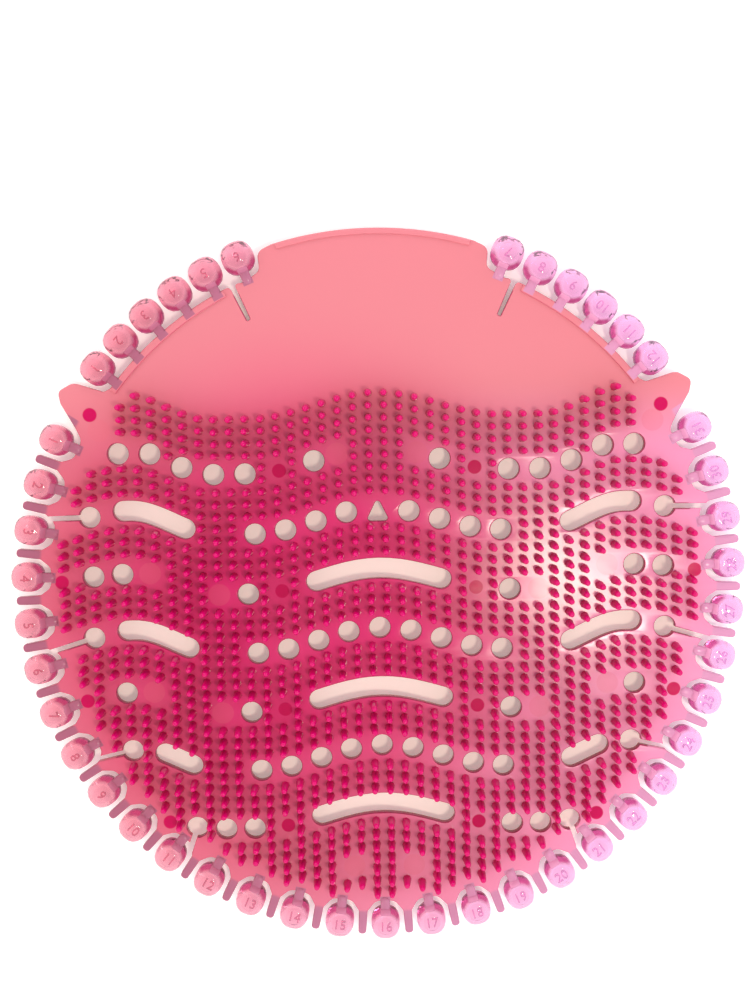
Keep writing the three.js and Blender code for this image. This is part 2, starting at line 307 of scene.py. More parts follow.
# %% Shoulder, tab cut and ear
TAB_END = 16.4
SHOULDER_CORNERS = [(18.9, 87.9, 2.2), (19.6, 83.2, 2.0), (23.2, 82.4, 0.6)]
TAB_CUT_BEARING = 24.9
TAB_CUT_DEPTH = 73.4
TAB_CUT_END_WIDTH = 0.9
EAR_BEARING = 57.4
EAR_CORNERS = [
    (53.6, 83.6, 1.5),
    (55.2, 91.2, 2.6),
    (57.6, 93.2, 1.5),
    (59.0, 91.2, 2.0),
    (61.4, 85.0, 2.5),
]
MONTH_EDGE_START = TAB_CUT_BEARING + 1.6
MONTH_EDGE_END = 52.4


def arc(first, last, radius, steps):
    """Points along part of a circle round the disc's centre, without rounding of their own."""
    return [(at_bearing(first + (last - first) * step / steps, radius), 0.0) for step in range(steps + 1)]


def circle(centre, radius, points=24, start=0.0, sweep=math.tau):
    """Points round a circle, or round a part of it."""
    turns = [start + sweep * index / points for index in range(points)]
    return [centre + Vector((math.cos(turn), math.sin(turn))) * radius for turn in turns]


def corners_at(places):
    """Corners with their roundings from a list of bearings, radii and roundings."""
    return [(at_bearing(bearing, radius), rounding) for bearing, radius, rounding in places]


def finger(bearing):
    """The four corners of the finger at a bearing, going round clockwise."""
    foot = FINGER_FOOT_WIDTH / 2
    tip = FINGER_TIP_WIDTH / 2
    return [
        (at_bearing(bearing, FINGER_FOOT, -foot), FINGER_FOOT_ROUNDING),
        (at_bearing(bearing, FINGER_TIP, -tip), FINGER_TIP_ROUNDING),
        (at_bearing(bearing, FINGER_TIP, tip), FINGER_TIP_ROUNDING),
        (at_bearing(bearing, FINGER_FOOT, foot), FINGER_FOOT_ROUNDING),
    ]


def scoop(bearing):
    """The bottom of the scoop round the day bead at a bearing."""
    half = SCOOP_WIDTH / 2
    return [(at_bearing(bearing, DAY_RIM, side), SCOOP_ROUNDING) for side in (-half, half)]


def tab_cut():
    """The narrow cut that frees the month edge from the tab."""
    mouth = CUT_WIDTH / 2
    end = TAB_CUT_END_WIDTH / 2
    return [
        (at_bearing(TAB_CUT_BEARING, MONTH_RIM, -mouth), 0.7),
        (at_bearing(TAB_CUT_BEARING, TAB_CUT_DEPTH, -end), 0.3),
        (at_bearing(TAB_CUT_BEARING, TAB_CUT_DEPTH, end), 0.3),
        (at_bearing(TAB_CUT_BEARING, MONTH_RIM, mouth), 0.9),
    ]


def right_outline():
    """Corners and roundings from the middle of the tab to the middle of the bottom bead."""
    corners = arc(0, TAB_END, TAB_RADIUS, 14)
    corners += corners_at(SHOULDER_CORNERS) + tab_cut()
    corners += arc(MONTH_EDGE_START, MONTH_EDGE_END, MONTH_RIM, 20)
    corners += corners_at(EAR_CORNERS)
    for bearing in day_bearings[:-1]:
        corners += scoop(bearing) + finger(bearing + DAY_PITCH / 2)
    return corners + scoop(180)[:1]


def rounded(corners, steps=4):
    """A closed outline with an arc in place of each corner that has a rounding."""
    outline = []
    for index, (corner, radius) in enumerate(corners):
        before = (corners[index - 1][0] - corner).normalized()
        after = (corners[(index + 1) % len(corners)][0] - corner).normalized()
        if radius == 0.0:
            outline.append(corner)
            continue
        half_angle = before.angle(after) / 2
        reach = radius / math.tan(half_angle)
        middle = corner + (before + after).normalized() * (radius / math.sin(half_angle))
        start = corner + before * reach - middle
        end = corner + after * reach - middle
        turn = start.angle_signed(end)
        for step in range(steps + 1):
            outline.append(middle + Matrix.Rotation(-turn * step / steps, 2) @ start)
    return outline


def keyhole_in(outline, centre, mouth):
    """The outline led into a cut, round the hole at its end and out again."""
    away = (mouth - centre).normalized()
    side = Vector((-away.y, away.x)) * CUT_WIDTH / 2
    half_gap = math.asin(CUT_WIDTH / 2 / HOLE_RADIUS)
    across = [(point - centre).dot(side) / side.length for point in outline]
    reach = (mouth - centre).length + HOLE_RADIUS
    near = [0 < (point - centre).dot(away) < reach for point in outline]
    inside = [i for i, offset in enumerate(across) if near[i] and abs(offset) < CUT_WIDTH / 2]
    crossings = [
        i for i in range(len(outline) - 1) if near[i] and near[i + 1] and across[i] > 0 >= across[i + 1]
    ]
    first = min(inside + crossings[:1])
    last = max(inside + [crossings[-1] + 1])
    if across[first] > CUT_WIDTH / 2:
        first += 1
    if across[last] < -CUT_WIDTH / 2:
        last -= 1

    def edge_point(outer, inner, level):
        share = (level - across[outer]) / (across[inner] - across[outer])
        return outline[outer].lerp(outline[inner], share)

    start = edge_point(first - 1, first, CUT_WIDTH / 2)
    end = edge_point(last + 1, last, -CUT_WIDTH / 2)
    turn = math.atan2(away.y, away.x) + half_gap
    rim = circle(centre, HOLE_RADIUS, 24, turn, math.tau - 2 * half_gap)
    rim.append(centre + away * HOLE_RADIUS * math.cos(half_gap) - side)
    return outline[:first] + [start, *rim, end] + outline[last + 1:]


right_corners = right_outline()
left_corners = [(mirrored(corner), radius) for corner, radius in right_corners[1:]]
plate_outline = rounded(right_corners + left_corners[::-1])
for hole_centre, cut_mouth in cuts:
    plate_outline = keyhole_in(plate_outline, hole_centre, cut_mouth)
print("The outline has", len(plate_outline), "points")

# %% [markdown]
# The round holes, the slots and the triangle stay apart from the edge, so each is a closed
# outline of its own inside it.


# %% Outlines of the openings
def slot_outline(path, width):
    """A band of even width along a path, with round ends."""
    half = width / 2
    upper, lower = [], []
    for index, point in enumerate(path):
        along = (path[min(index + 1, len(path) - 1)] - path[max(index - 1, 0)]).normalized()
        side = Vector((-along.y, along.x)) * half
        upper.append(point + side)
        lower.append(point - side)
    first = (path[0] - path[1]).normalized()
    last = (path[-1] - path[-2]).normalized()
    heading_first = math.atan2(first.y, first.x)
    heading_last = math.atan2(last.y, last.x)
    first_cap = circle(path[0], half, 10, heading_first + math.pi / 2, -math.pi)[1:]
    last_cap = circle(path[-1], half, 10, heading_last - math.pi / 2, math.pi)[1:]
    return lower + last_cap + upper[::-1] + first_cap[::-1]


TRIANGLE_CORNERS = [(0, 3.4), (-2.9, -2.5), (2.9, -2.5)]
TRIANGLE_ROUNDING = 0.7


def triangle_outline():
    """The small triangular hole, point upwards."""
    corners = [triangle_centre + Vector(corner) for corner in TRIANGLE_CORNERS]
    return rounded([(corner, TRIANGLE_ROUNDING) for corner in corners])


openings = [circle(hole, HOLE_RADIUS) for hole in round_holes]
openings += [slot_outline(path, SLOT_WIDTH) for path in slots]
openings.append(triangle_outline())
print(len(openings), "openings inside the outline")

# %% [markdown]
# ## From outlines to closed solids
# A flat curve that is filled, given a thickness and bevelled makes a moulded plate in one
# step, holes and all, with every edge softly rounded. It is turned into a mesh, its doubled
# points are merged so that it is closed, and it is scaled from millimetres to metres.


# %% Flat piece helper
def to_metres(point, height):
    """A place on the disc and a height, in millimetres, as a point in the model's metres."""
    return Vector((point.x, point.y + DISC_SHIFT, height)) * MM


def close_mesh(mesh, merge_distance=0.000002):
    """Merges doubled points and turns all faces outwards."""
    work = bmesh.new()
    work.from_mesh(mesh)
    bmesh.ops.remove_doubles(work, verts=work.verts, dist=merge_distance)
    bmesh.ops.recalc_face_normals(work, faces=work.faces)
    work.to_mesh(mesh)
    work.free()


def flat_piece(name, outlines, bottom, top, bevel, bevel_steps=1):
    """A closed plate between two heights with rounded edges; the first outline is its edge."""
    curve = bpy.data.curves.new(name, "CURVE")
    curve.dimensions = "2D"
    curve.fill_mode = "BOTH"
    curve.extrude = ((top - bottom) / 2 - bevel) * MM
    curve.bevel_depth = bevel * MM
    curve.bevel_resolution = bevel_steps
    curve.offset = -bevel * MM
    for outline in outlines:
        spline = curve.splines.new("POLY")
        spline.points.add(len(outline) - 1)
        spline.use_cyclic_u = True
        for corner, point in zip(spline.points, outline):
            corner.co = (point.x * MM, (point.y + DISC_SHIFT) * MM, 0, 1)
    flat = bpy.data.objects.new(name + "_curve", curve)
    bpy.context.collection.objects.link(flat)
    bpy.context.view_layer.update()
    mesh = bpy.data.meshes.new_from_object(flat.evaluated_get(bpy.context.evaluated_depsgraph_get()))
    bpy.data.objects.remove(flat)
    mesh.transform(Matrix.Translation((0, 0, (bottom + top) / 2 * MM)))
    close_mesh(mesh)
    piece = bpy.data.objects.new(name, mesh)
    bpy.context.collection.objects.link(piece)
    return piece


PLATE_ROUNDING = 0.28
plate = flat_piece("plate", [plate_outline, *openings], FOOT_HEIGHT, PLATE_TOP, PLATE_ROUNDING)
print("The plate has", len(plate.data.polygons), "faces")

# %% [markdown]
# ## Lips
# The plain parts of the edge have a low raised lip, which stiffens them. It is a flat band with
# rounded edges, laid on the plate and sunk into it a little so that both join into one solid.

# %% Lips along the tab and under the months
LIP_HEIGHT = 0.45
LIP_SUNK = 0.5
LIP_ROUNDING = 0.2


def band_outline(first, last, inner, outer, steps=18):
    """A band along part of a circle round the disc's centre."""
    bearings = [first + (last - first) * step / steps for step in range(steps + 1)]
    outside = [at_bearing(bearing, outer) for bearing in bearings]
    inside = [at_bearing(bearing, inner) for bearing in reversed(bearings)]
    return outside + inside


def make_lip(name, outline):
    """A low lip on the plate."""
    return flat_piece(name, [outline], PLATE_TOP - LIP_SUNK, PLATE_TOP + LIP_HEIGHT, LIP_ROUNDING)


month_lip = band_outline(26.6, 52.6, MONTH_RIM - 1.9, MONTH_RIM - 0.25)
tab_lip = band_outline(-15.8, 15.8, TAB_RADIUS - 1.5, TAB_RADIUS - 0.3)
lips = [
    make_lip("right_lip", month_lip),
    make_lip("left_lip", [mirrored(point) for point in reversed(month_lip)]),
    make_lip("tab_lip", tab_lip),
]

# %% [markdown]
# ## Helpers for Geometry Nodes
# Pegs, beads, necks and feet repeat, so Geometry Nodes place them. Each tree has named inputs
# for its sizes. The points to place them on are the corners of a mesh without faces, which
# carries a heading and a size for each point.


# %% Node helpers
def add_node(tree, kind, inputs=None, **settings):
    """A node with settings and with values or links for its named or numbered inputs."""
    node = tree.nodes.new(kind)
    for name, value in settings.items():
        setattr(node, name, value)
    for name, value in (inputs or {}).items():
        if isinstance(value, bpy.types.NodeSocket):
            tree.links.new(value, node.inputs[name])
        else:
            node.inputs[name].default_value = value
    return node


def new_tree(name, sizes):
    """A Geometry Nodes tree with a geometry input, a material input and named sizes."""
    tree = bpy.data.node_groups.new(name, "GeometryNodeTree")
    tree.interface.new_socket("Geometry", in_out="INPUT", socket_type="NodeSocketGeometry")
    tree.interface.new_socket("Geometry", in_out="OUTPUT", socket_type="NodeSocketGeometry")
    for size_name, size in sizes.items():
        kind = "NodeSocketInt" if isinstance(size, int) else "NodeSocketFloat"
        tree.interface.new_socket(size_name, in_out="INPUT", socket_type=kind).default_value = size
    tree.interface.new_socket("Material", in_out="INPUT", socket_type="NodeSocketMaterial")
    return tree, tree.nodes.new("NodeGroupInput").outputs


def finish_tree(tree, given, instances):
    """Ends a tree in real geometry with its material."""
    real = add_node(tree, "GeometryNodeRealizeInstances", {0: instances})
    dressed = add_node(
        tree, "GeometryNodeSetMaterial", {"Geometry": real.outputs[0], "Material": given["Material"]}
    )
    add_node(tree, "NodeGroupOutput", {0: dressed.outputs[0]})


def apply_tree(piece, tree, material, sizes=None):
    """Runs a tree on a piece and keeps the result as a plain mesh."""
    modifier = piece.modifiers.new(tree.name, "NODES")
    modifier.node_group = tree
    wanted = {"Material": material, **(sizes or {})}
    for item in tree.interface.items_tree:
        if item.in_out == "INPUT" and item.name in wanted:
            modifier[item.identifier] = wanted[item.name]
    bpy.context.view_layer.update()
    mesh = bpy.data.meshes.new_from_object(piece.evaluated_get(bpy.context.evaluated_depsgraph_get()))
    piece.modifiers.remove(modifier)
    piece.data = mesh
    return piece


def point_piece(name, places, height, turns=None, scales=None):
    """Loose points on the disc, each with a turn about the upright axis and a scale."""
    mesh = bpy.data.meshes.new(name)
    mesh.from_pydata([to_metres(place, height) for place in places], [], [])
    turn = mesh.attributes.new("turn", "FLOAT", "POINT")
    turn.data.foreach_set("value", turns or [0.0] * len(places))
    scale = mesh.attributes.new("size", "FLOAT_VECTOR", "POINT")
    flat = [value for triple in (scales or [(1, 1, 1)] * len(places)) for value in triple]
    scale.data.foreach_set("vector", flat)
    piece = bpy.data.objects.new(name, mesh)
    bpy.context.collection.objects.link(piece)
    return piece


def maths(tree, operation, *values):
    """The result of one step of arithmetic."""
    return add_node(tree, "ShaderNodeMath", dict(enumerate(values)), operation=operation).outputs[0]


def place_on_points(tree, given, shape, lean=None):
    """Puts a shape on every point, turned and scaled as the point says."""
    turn = add_node(tree, "GeometryNodeInputNamedAttribute", {"Name": "turn"}, data_type="FLOAT")
    size = add_node(
        tree, "GeometryNodeInputNamedAttribute", {"Name": "size"}, data_type="FLOAT_VECTOR"
    ).outputs[0]
    rotation = add_node(tree, "ShaderNodeCombineXYZ", {"Z": turn.outputs[0]}).outputs[0]
    if lean is not None:
        leaning = {0: rotation, 1: lean}
        rotation = add_node(tree, "ShaderNodeVectorMath", leaning, operation="ADD").outputs[0]
    wanted = {"Points": given["Geometry"], "Instance": shape, "Rotation": rotation, "Scale": size}
    return add_node(tree, "GeometryNodeInstanceOnPoints", wanted).outputs[0]


# %% [markdown]
# ## The pegs
# Each peg is a cone with a rounded tip. A cylinder of height 1 and radius 1 is pulled into that
# profile, and its rings of corners crowd towards the tip, where the profile bends most. A small
# random lean keeps the field from looking like a drawing. The pegs start a little inside the
# plate, so that they can be joined to it.

# %% Peg tree
SUNK = 0.3
PEG_SHORTENING = 0.12
PEG_BASE_RADIUS = 1.14
PEG_TIP_RADIUS = 0.70
PEG_LEAN = 0.03
RING_CROWDING = 1.9
TIP_START = 0.88
TIP_ROUNDNESS = 0.55


def peg_profile(tree, given, position):
    """Moves a point of the unit cylinder to its place on the rounded cone."""
    place = add_node(tree, "ShaderNodeSeparateXYZ", {0: position}).outputs
    left_over = maths(tree, "SUBTRACT", 0.5, place["Z"])
    height = maths(tree, "SUBTRACT", 1.0, maths(tree, "POWER", left_over, RING_CROWDING))
    narrowing = maths(tree, "SUBTRACT", given["Tip Radius"], given["Base Radius"])
    straight = maths(tree, "MULTIPLY_ADD", narrowing, height, given["Base Radius"])
    past_start = maths(tree, "SUBTRACT", height, TIP_START)
    near_tip = maths(tree, "MAXIMUM", maths(tree, "DIVIDE", past_start, 1 - TIP_START), 0.0)
    loss = maths(tree, "MULTIPLY", maths(tree, "POWER", near_tip, 2.0), TIP_ROUNDNESS)
    radius = maths(tree, "MULTIPLY", straight, maths(tree, "SUBTRACT", 1.0, loss))
    x = maths(tree, "MULTIPLY", place["X"], radius)
    y = maths(tree, "MULTIPLY", place["Y"], radius)
    z = maths(tree, "MULTIPLY", height, given["Height"])
    return add_node(tree, "ShaderNodeCombineXYZ", {"X": x, "Y": y, "Z": z}).outputs[0]


def random_lean(tree, given):
    """A small turn about both flat axes, different for each peg."""
    least = maths(tree, "MULTIPLY", given["Lean"], -1.0)
    low = add_node(tree, "ShaderNodeCombineXYZ", {"X": least, "Y": least}).outputs[0]
    high = add_node(tree, "ShaderNodeCombineXYZ", {"X": given["Lean"], "Y": given["Lean"]})
    wanted = {0: low, 1: high.outputs[0], "Seed": given["Seed"]}
    return add_node(tree, "FunctionNodeRandomValue", wanted, data_type="FLOAT_VECTOR").outputs[0]


def make_peg_tree():
    """A tree that puts a rounded cone on every point."""
    sizes = {
        "Height": (PEG_HEIGHT + SUNK - PEG_SHORTENING) * MM,
        "Base Radius": PEG_BASE_RADIUS * MM,
        "Tip Radius": PEG_TIP_RADIUS * MM,
        "Lean": PEG_LEAN,
        "Seed": 7,
    }
    tree, given = new_tree("peg_field", sizes)
    column = add_node(
        tree,
        "GeometryNodeMeshCylinder",
        {"Vertices": 8, "Side Segments": 4, "Radius": 1.0, "Depth": 1.0},
        fill_type="TRIANGLE_FAN",
    ).outputs["Mesh"]
    position = add_node(tree, "GeometryNodeInputPosition").outputs[0]
    moved = {"Geometry": column, "Position": peg_profile(tree, given, position)}
    peg = add_node(tree, "GeometryNodeSetPosition", moved).outputs[0]
    finish_tree(tree, given, place_on_points(tree, given, peg, random_lean(tree, given)))
    return tree


# %% [markdown]
# ## Beads, necks and feet
# A bead is a ball pressed a little towards a cushion shape, longer away from the rim than
# across. A neck is the same shape, pressed almost to a short square bar, and a foot is a round
# stub under the plate.


# %% Bead and stub trees
def make_bead_tree():
    """A tree that puts a cushion-shaped ball of radius 1 on every point."""
    tree, given = new_tree("bead_ring", {"Squareness": 2.5, "Segments": 22, "Rings": 12})
    wanted = {"Segments": given["Segments"], "Rings": given["Rings"], "Radius": 1.0}
    ball = add_node(tree, "GeometryNodeMeshUVSphere", wanted).outputs["Mesh"]
    position = add_node(tree, "GeometryNodeInputPosition").outputs[0]
    place = add_node(tree, "ShaderNodeSeparateXYZ", {0: position}).outputs
    power = given["Squareness"]
    terms = [maths(tree, "POWER", maths(tree, "ABSOLUTE", side), power) for side in place]
    total = maths(tree, "ADD", maths(tree, "ADD", terms[0], terms[1]), terms[2])
    grown = {0: position, "Scale": maths(tree, "POWER", total, maths(tree, "DIVIDE", -1.0, power))}
    cushion = add_node(tree, "ShaderNodeVectorMath", grown, operation="SCALE").outputs[0]
    moved = {"Geometry": ball, "Position": cushion}
    bead = add_node(tree, "GeometryNodeSetPosition", moved).outputs[0]
    finish_tree(tree, given, place_on_points(tree, given, bead))
    return tree


def make_stub_tree():
    """A tree that puts an upright rod of radius 1 and length 1 on every point."""
    tree, given = new_tree("foot_stubs", {"Sides": 20})
    wanted = {"Vertices": given["Sides"], "Radius": 1.0, "Depth": 1.0}
    rod = add_node(tree, "GeometryNodeMeshCylinder", wanted).outputs["Mesh"]
    finish_tree(tree, given, place_on_points(tree, given, rod))
    return tree


# %% [markdown]
# ## The plastic
# The plastic is clear but deeply dyed: where it is thick, as in a peg or a foot, it looks
# crimson, and where it is thin it is pink. Light and shade are painted into the colour as well:
# the plate is painted darker towards the middle of the pegs as painted shade among them, the
# right side is painted lighter than the left, the pegs are painted darker at the root, the
# openings' edges carry painted shade and the beads painted dark reflections. The colour is worked
# out from where a point is on the moulding, as its height and its distance from the centre say
# whether it is on the plate, a peg, a foot, a bead or a neck.


# %% Shader helpers
def fade(tree, value, start, end):
    """A smooth change from 0 to 1 as a value goes from start to end."""
    wanted = {"Value": value, "From Min": start, "From Max": end}
    return add_node(tree, "ShaderNodeMapRange", wanted, interpolation_type="SMOOTHSTEP").outputs[0]


def between(tree, share, first, second):
    """A number between two, by a share from 0 to 1."""
    wanted = {"Value": share, "To Min": first, "To Max": second}
    return add_node(tree, "ShaderNodeMapRange", wanted).outputs[0]


def blend(tree, share, first, second):
    """A colour between two, by a share from 0 to 1."""
    mixer = add_node(tree, "ShaderNodeMix", data_type="RGBA")
    tree.links.new(share, mixer.inputs["Factor"])
    for socket, colour in ((mixer.inputs["A"], first), (mixer.inputs["B"], second)):
        if isinstance(colour, bpy.types.NodeSocket):
            tree.links.new(colour, socket)
        else:
            socket.default_value = (*colour, 1)
    return mixer.outputs["Result"]


def times(tree, *shares):
    """The product of several shares."""
    result = shares[0]
    for share in shares[1:]:
        result = maths(tree, "MULTIPLY", result, share)
    return result


def largest(tree, shares):
    """The largest of several shares."""
    result = shares[0]
    for share in shares[1:]:
        result = maths(tree, "MAXIMUM", result, share)
    return result


def distance(tree, x, y):
    """How far a place is from the origin of its two axes."""
    squares = maths(tree, "ADD", times(tree, x, x), times(tree, y, y))
    return maths(tree, "SQRT", squares)


def distance_from(tree, spot, centre):
    """How far a point of the disc is from another."""
    x = maths(tree, "SUBTRACT", spot["x"], centre.x)
    y = maths(tree, "SUBTRACT", spot["y"], centre.y)
    return distance(tree, x, y)


# %% [markdown]
# The edge parts repeat round the disc, so one beat of the pattern is described and used for all.
# A bead's own axes are found from the bearing: how far a point is across from the middle of the
# nearest bead, and how far out.


# %% Where a point is
EAR_REACH = 3.6


def disc_place(tree):
    """A point in millimetres from the disc's centre, with its radius and its bearing."""
    position = add_node(tree, "ShaderNodeTexCoord").outputs["Object"]
    axes = add_node(tree, "ShaderNodeSeparateXYZ", {0: position}).outputs
    x = maths(tree, "DIVIDE", axes["X"], MM)
    y = maths(tree, "SUBTRACT", maths(tree, "DIVIDE", axes["Y"], MM), DISC_SHIFT)
    from_top = maths(tree, "ABSOLUTE", maths(tree, "ARCTAN2", x, y))
    return {
        "position": position,
        "x": x,
        "y": y,
        "z": maths(tree, "DIVIDE", axes["Z"], MM),
        "radius": distance(tree, x, y),
        "bearing": maths(tree, "DEGREES", from_top),
    }


def bead_beat(tree, spot):
    """How a point lies against the nearest bead."""
    bearing = spot["bearing"]

    def turn_from_bead(first, pitch):
        beats = maths(tree, "DIVIDE", maths(tree, "SUBTRACT", bearing, first), pitch)
        off_beat = maths(tree, "SUBTRACT", beats, maths(tree, "ROUND", beats))
        return times(tree, off_beat, pitch)

    is_month = maths(tree, "LESS_THAN", bearing, EAR_BEARING)
    is_day = maths(tree, "SUBTRACT", 1.0, is_month)
    month_turn = times(tree, turn_from_bead(FIRST_MONTH, MONTH_PITCH), is_month)
    day_turn = times(tree, turn_from_bead(180, DAY_PITCH), is_day)
    turn = maths(tree, "RADIANS", maths(tree, "ADD", month_turn, day_turn))
    across = maths(tree, "ABSOLUTE", times(tree, turn, spot["radius"]))
    outwards = maths(tree, "SUBTRACT", spot["radius"], BEAD_RING)
    past_tab = maths(tree, "GREATER_THAN", bearing, FIRST_MONTH - MONTH_PITCH / 2)
    from_ear = maths(tree, "ABSOLUTE", maths(tree, "SUBTRACT", bearing, EAR_BEARING))
    return {
        "is_day": is_day,
        "across": across,
        "outwards": outwards,
        "from_bead": distance(tree, across, outwards),
        "has_beads": times(tree, past_tab, maths(tree, "GREATER_THAN", from_ear, EAR_REACH)),
    }


# %% [markdown]
# Each part of the moulding has a range of places, over whose ends it fades into the next part.
# The first number of a fade is where its share is 0, and the second is where it is 1. All are
# millimetres, apart from the slope of a wall, where 1 is a level face and 0 an upright one.

# %% Ranges of the parts
PEG_LEVEL = (PLATE_TOP + 0.02, PLATE_TOP + 0.3)
PEG_REACH = (81.2, 80.6)
STUB_LEVEL = (FOOT_HEIGHT - 0.1, FOOT_HEIGHT - 0.3)
STUB_REACH = (84.6, 84.2)
# Painted shade along the walls and rounded edges of the openings, where they slope.
WALL_LEVEL = (PLATE_TOP + 0.05, PLATE_TOP)
WALL_REACH = (80.6, 80.0)
WALL_SLOPE = (0.985, 0.8)
BEAD_START = (83.2, 83.6)
BEAD_REACH = (4.8, 4.5)
NECK_SIDE = (1.4, 1.25)
NECK_START = (81.1, 81.3)
NECK_END = (85.6, 85.2)
FINGER_SIDE = (4.6, 4.9)
FINGER_START = (84.6, 85.6)
RING_INNER = (1.8, 2.1)
RING_OUTER = (2.7, 2.4)
# Painted dark reflection in the beads: a crescent on their inner side.
CRESCENT_START = (2.6, 3.6)
CRESCENT_DEPTH = (-0.4, -2.0)
FOOT_SPOT_RADIUS = 1.75
PIN_SPOT_RADIUS = 2.75
SPOT_BLUR = 0.15
# Painted shade among the pegs: the plate is painted darker round this centre, fading out over these
# distances.
PEG_SHADE_CENTRE = Vector((-22.0, -8.0))
PEG_SHADE_FADE = (82.0, 22.0)
# Painted side light: across this span the right side is painted lighter and cooler than the left.
SIDE_LIGHT_SPAN = (-70.0, 85.0)
FIELD_TO_TAB = (30.0, 52.0)


def plate_places(tree, spot):
    """Shares for the pegs, the feet, the walls of the openings and the marks in the plate, with the
    painted shade on those walls, the painted shade among the pegs and the painted side light.
    """
    radius = spot["radius"]
    normal = add_node(tree, "ShaderNodeNewGeometry").outputs["Normal"]
    facing = add_node(tree, "ShaderNodeSeparateXYZ", {0: normal}).outputs["Z"]
    steep = fade(tree, maths(tree, "ABSOLUTE", facing), *WALL_SLOPE)
    in_plate = times(tree, fade(tree, spot["z"], *WALL_LEVEL), fade(tree, radius, *WALL_REACH))
    either_side = {"x": maths(tree, "ABSOLUTE", spot["x"]), "y": spot["y"]}

    def spot_share(centres, size):
        fade_ends = (size + SPOT_BLUR, size - SPOT_BLUR)
        rights = [centre for centre in centres if centre.x > 0]
        ways = [distance_from(tree, either_side, centre) for centre in rights]
        return largest(tree, [fade(tree, way, *fade_ends) for way in ways])

    return {
        "peg": times(tree, fade(tree, spot["z"], *PEG_LEVEL), fade(tree, radius, *PEG_REACH)),
        # from root to tip, for the pegs' painted shade, darker at the root
        "tip": fade(tree, spot["z"], PLATE_TOP, PLATE_TOP + PEG_HEIGHT),
        "foot": times(tree, fade(tree, spot["z"], *STUB_LEVEL), fade(tree, radius, *STUB_REACH)),
        # painted shade on the sloping walls and edges of the openings
        "wall": times(tree, steep, in_plate),
        "foot_spot": spot_share(feet, FOOT_SPOT_RADIUS),
        "pin_spot": spot_share(pin_marks, PIN_SPOT_RADIUS),
        # painted shade among the pegs
        "peg_shade": fade(tree, distance_from(tree, spot, PEG_SHADE_CENTRE), *PEG_SHADE_FADE),
        # painted side light, lighter towards the right
        "right": fade(tree, spot["x"], *SIDE_LIGHT_SPAN),
        "top": fade(tree, spot["y"], *FIELD_TO_TAB),
    }


def rim_places(tree, spot):
    """Shares for the beads, their rings and painted dark reflections, the necks and the fingers."""
    radius = spot["radius"]
    beat = bead_beat(tree, spot)
    past_rim = times(tree, fade(tree, radius, *BEAD_START), beat["has_beads"])
    along_neck = times(tree, fade(tree, radius, *NECK_START), fade(tree, radius, *NECK_END))
    on_neck = times(tree, along_neck, fade(tree, beat["across"], *NECK_SIDE))
    on_finger = times(
        tree, fade(tree, beat["across"], *FINGER_SIDE), fade(tree, radius, *FINGER_START)
    )
    inner = fade(tree, beat["from_bead"], *RING_INNER)
    outer = fade(tree, beat["from_bead"], *RING_OUTER)
    towards_disc = fade(tree, beat["outwards"], *CRESCENT_DEPTH)
    return {
        "bead": times(tree, past_rim, fade(tree, beat["from_bead"], *BEAD_REACH)),
        "neck": times(tree, on_neck, beat["has_beads"]),
        "finger": times(tree, on_finger, beat["is_day"]),
        "ring": times(tree, inner, outer),
        # painted dark reflection inside each bead, towards the disc
        "dark_reflection": times(tree, fade(tree, beat["from_bead"], *CRESCENT_START), towards_disc),
    }


# %% [markdown]
# The colours are those of the plastic as seen in each place, with light and shade painted in.
# The left side is painted warmer and darker than the right, as painted side light that follows
# the room's light.

# %% Plastic material
# Painted shade: the plate's colour among the pegs, darkened as if shaded by them.
PEG_SHADE_PINK = (0.76, 0.022, 0.18)
# Painted side light: the plate's pink, darker and warmer on the left, lighter on the right.
SHADED_LEFT_PINK = (0.72, 0.18, 0.24)
LIT_RIGHT_PINK = (0.92, 0.33, 0.54)
TAB_PINK = (0.77, 0.24, 0.28)
PIN_PINK = (0.80, 0.16, 0.22)
# Painted side light: the beads darker on the left, lighter on the right.
SHADED_LEFT_BEAD = (0.88, 0.40, 0.50)
LIT_RIGHT_BEAD = (0.97, 0.62, 0.92)
# Painted reflection: the dark crimson crescent inside each bead.
DARK_REFLECTION_CRIMSON = (0.45, 0.03, 0.15)
# Painted shade: a dark crimson line on the walls and rounded edges of the openings.
EDGE_SHADE_CRIMSON = (0.42, 0.01, 0.09)
# The pegs' own crimson, painted darker at the root and lighter at the tip as painted shade among them.
SHADED_PEG_ROOT = (0.58, 0.0, 0.11)
LIT_PEG_TIP = (0.68, 0.002, 0.15)
FOOT_CRIMSON = (0.62, 0.0, 0.10)
# Painted side light: the necks and fingers darker on the left, lighter on the right.
SHADED_LEFT_MAUVE = (0.44, 0.14, 0.22)
LIT_RIGHT_MAUVE = (0.74, 0.34, 0.54)
PLATE_CLEAR = 0.2
BEAD_CLEAR = 0.93
PLATE_ROUGHNESS = 0.17
BEAD_ROUGHNESS = 0.04


